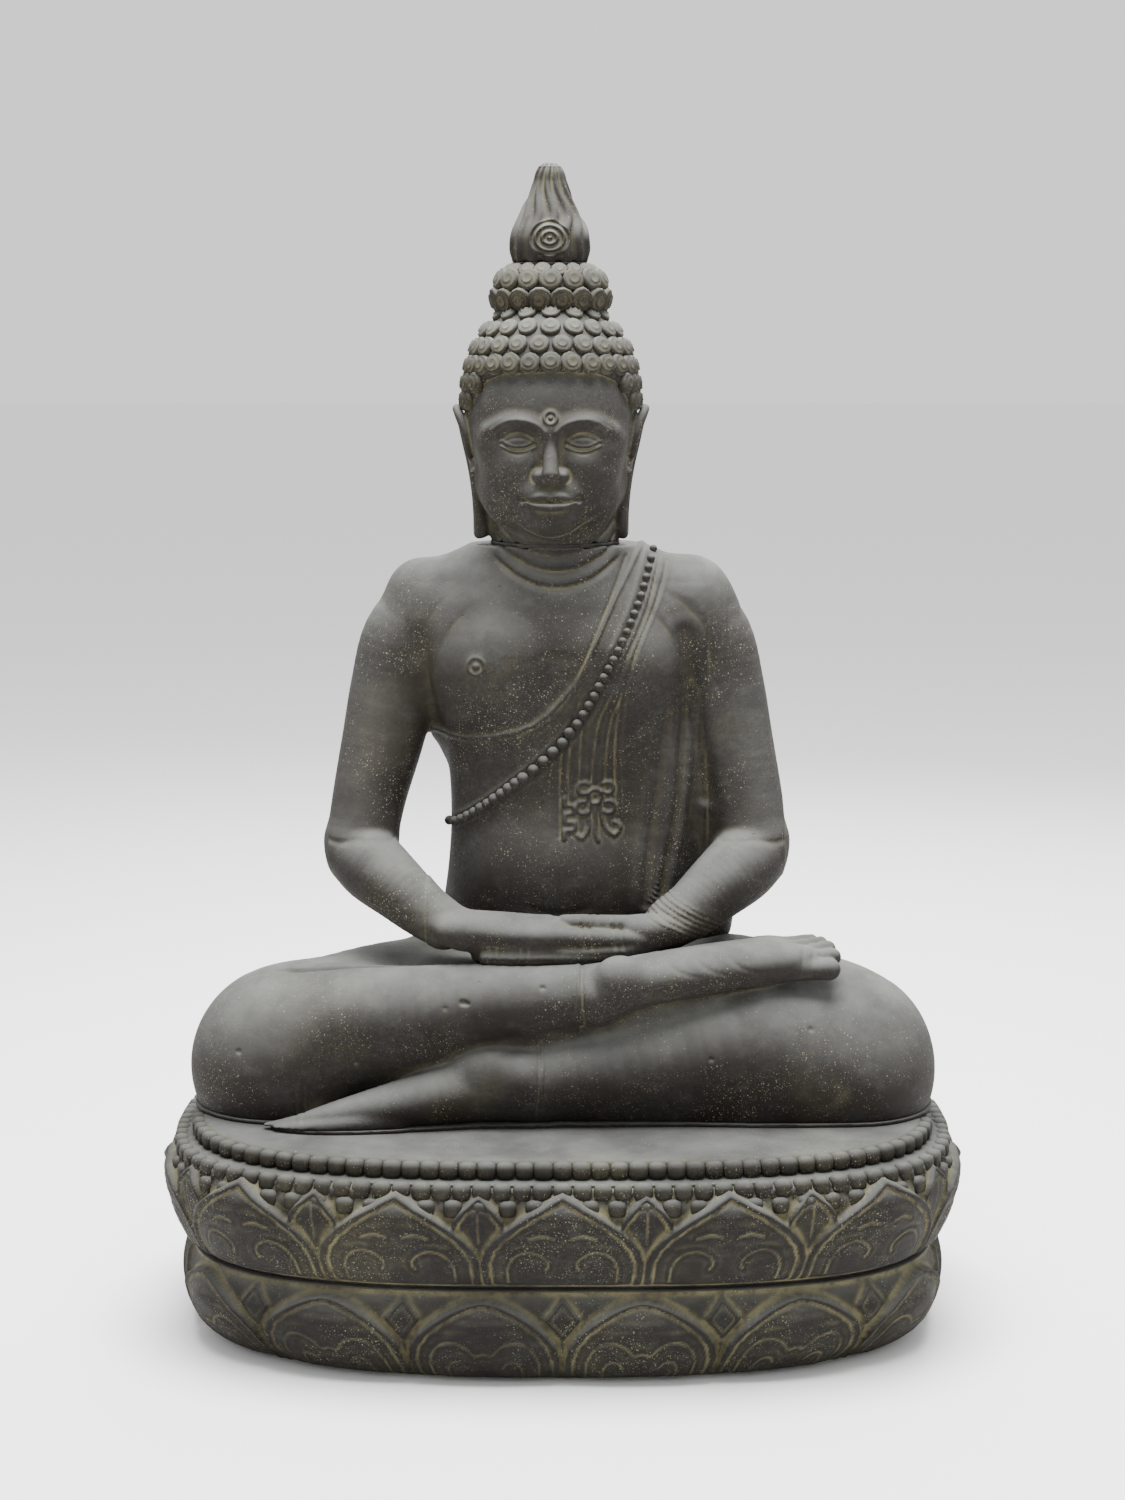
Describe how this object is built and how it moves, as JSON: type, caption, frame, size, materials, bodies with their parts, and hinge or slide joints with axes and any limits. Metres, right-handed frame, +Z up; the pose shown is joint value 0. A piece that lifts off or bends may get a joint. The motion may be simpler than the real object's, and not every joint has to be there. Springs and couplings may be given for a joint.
{
  "type": "buddha statue",
  "caption": "Seated meditating Buddha garden statue in cast stone on a two-tier lotus base, built of pinned and mortared hollow castings.",
  "frame": {"origin": "on the ground, at the middle of the lotus base", "axes": "+Z up, the figure faces -Y, +X towards the figure's own left hand"},
  "size_m": [0.8276, 0.54, 1.2],
  "materials": {
    "cast_stone": "matt, weathered",
    "mortar": "matt, struck flush",
    "steel": "plain bar"
  },
  "bodies": {
    "root": {"lower_lotus_tier": "cast_stone", "tier_mortar": "mortar", "upper_lotus_tier": "cast_stone", "seat_mortar": "mortar", "crossed_legs": "cast_stone", "waist_mortar": "mortar", "torso_and_arms": "cast_stone", "neck_mortar": "mortar", "head": "cast_stone", "topknot_mortar": "mortar", "topknot": "cast_stone", "finial_mortar": "mortar", "flame_finial": "cast_stone", "tier_dowel_front_right": "steel", "tier_dowel_front_left": "steel", "tier_dowel_rear_right": "steel", "tier_dowel_rear_left": "steel", "seat_dowel_right": "steel", "seat_dowel_left": "steel", "spine_bar": "steel", "finial_dowel": "steel"}
  },
  "joints": []
}
